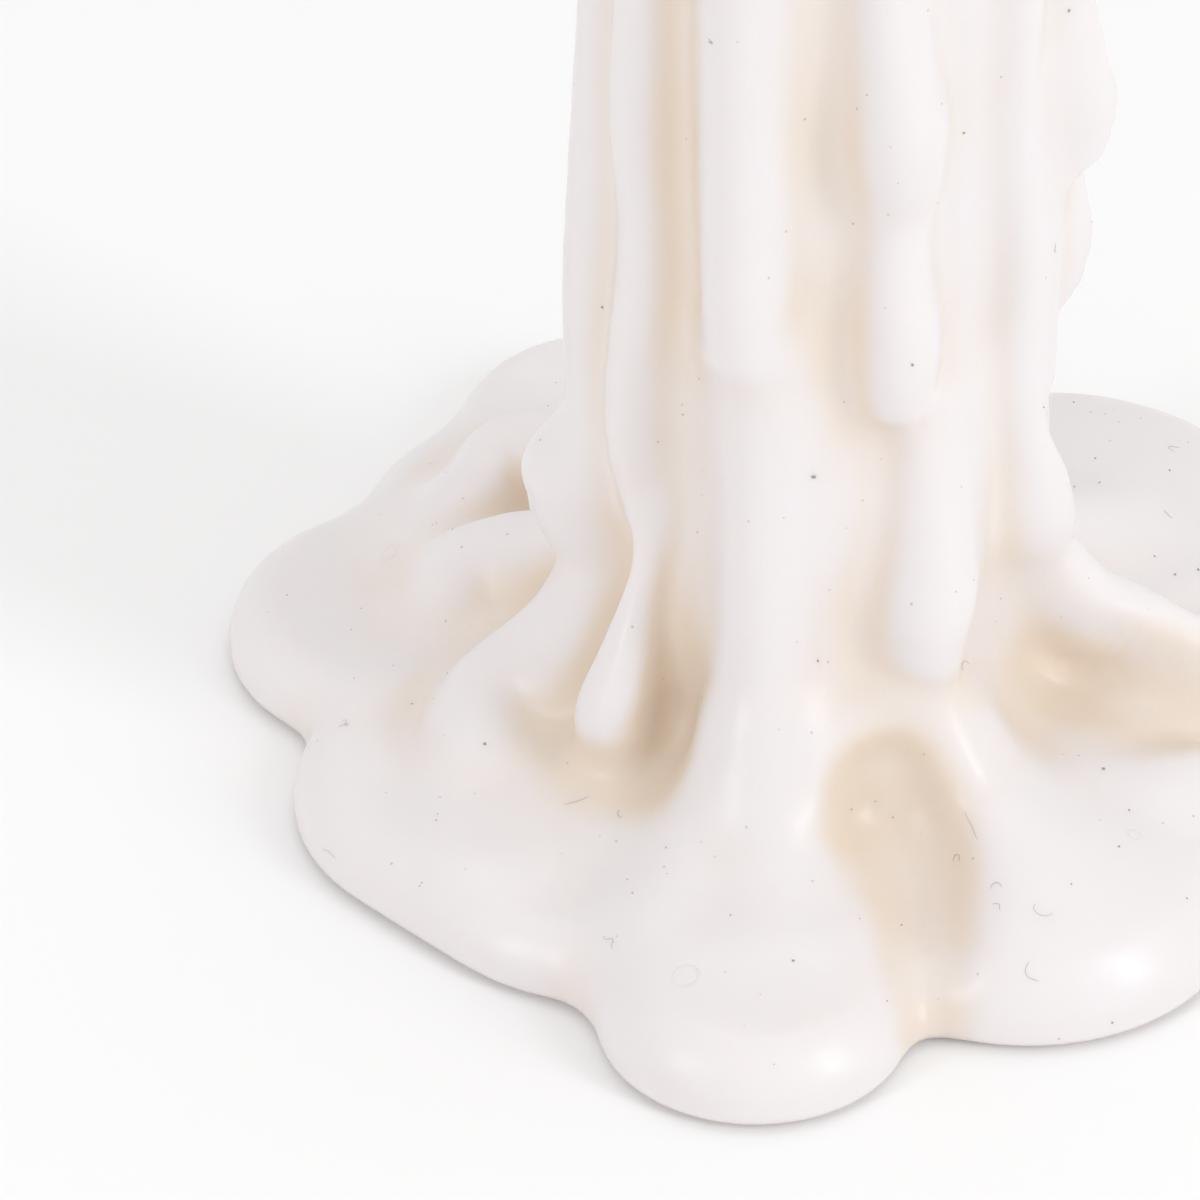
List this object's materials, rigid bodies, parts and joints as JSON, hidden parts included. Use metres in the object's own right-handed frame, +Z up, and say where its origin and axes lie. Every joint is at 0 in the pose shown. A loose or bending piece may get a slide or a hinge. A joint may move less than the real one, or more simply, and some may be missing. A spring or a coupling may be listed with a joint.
{
  "type": "melted candle",
  "caption": "Plain stick candle, partly burnt, with wax runs and drops set on it and a lobed puddle of wax round its foot.",
  "frame": {"origin": "on the wick's axis, in the plane of the flat underside", "axes": "+Z up along the candle; -Y towards the side with the single front lobe of the puddle, +X to the right of someone who faces that side"},
  "size_m": [0.0829, 0.0893, 0.1247],
  "materials": {
    "wax": "smooth translucent ivory wax, softly glossy, with specks of dust and lint",
    "wick": "braided cotton, charred black at the burnt end"
  },
  "bodies": {
    "root": {"wax_body": "wax", "wick": "wick"}
  },
  "joints": []
}
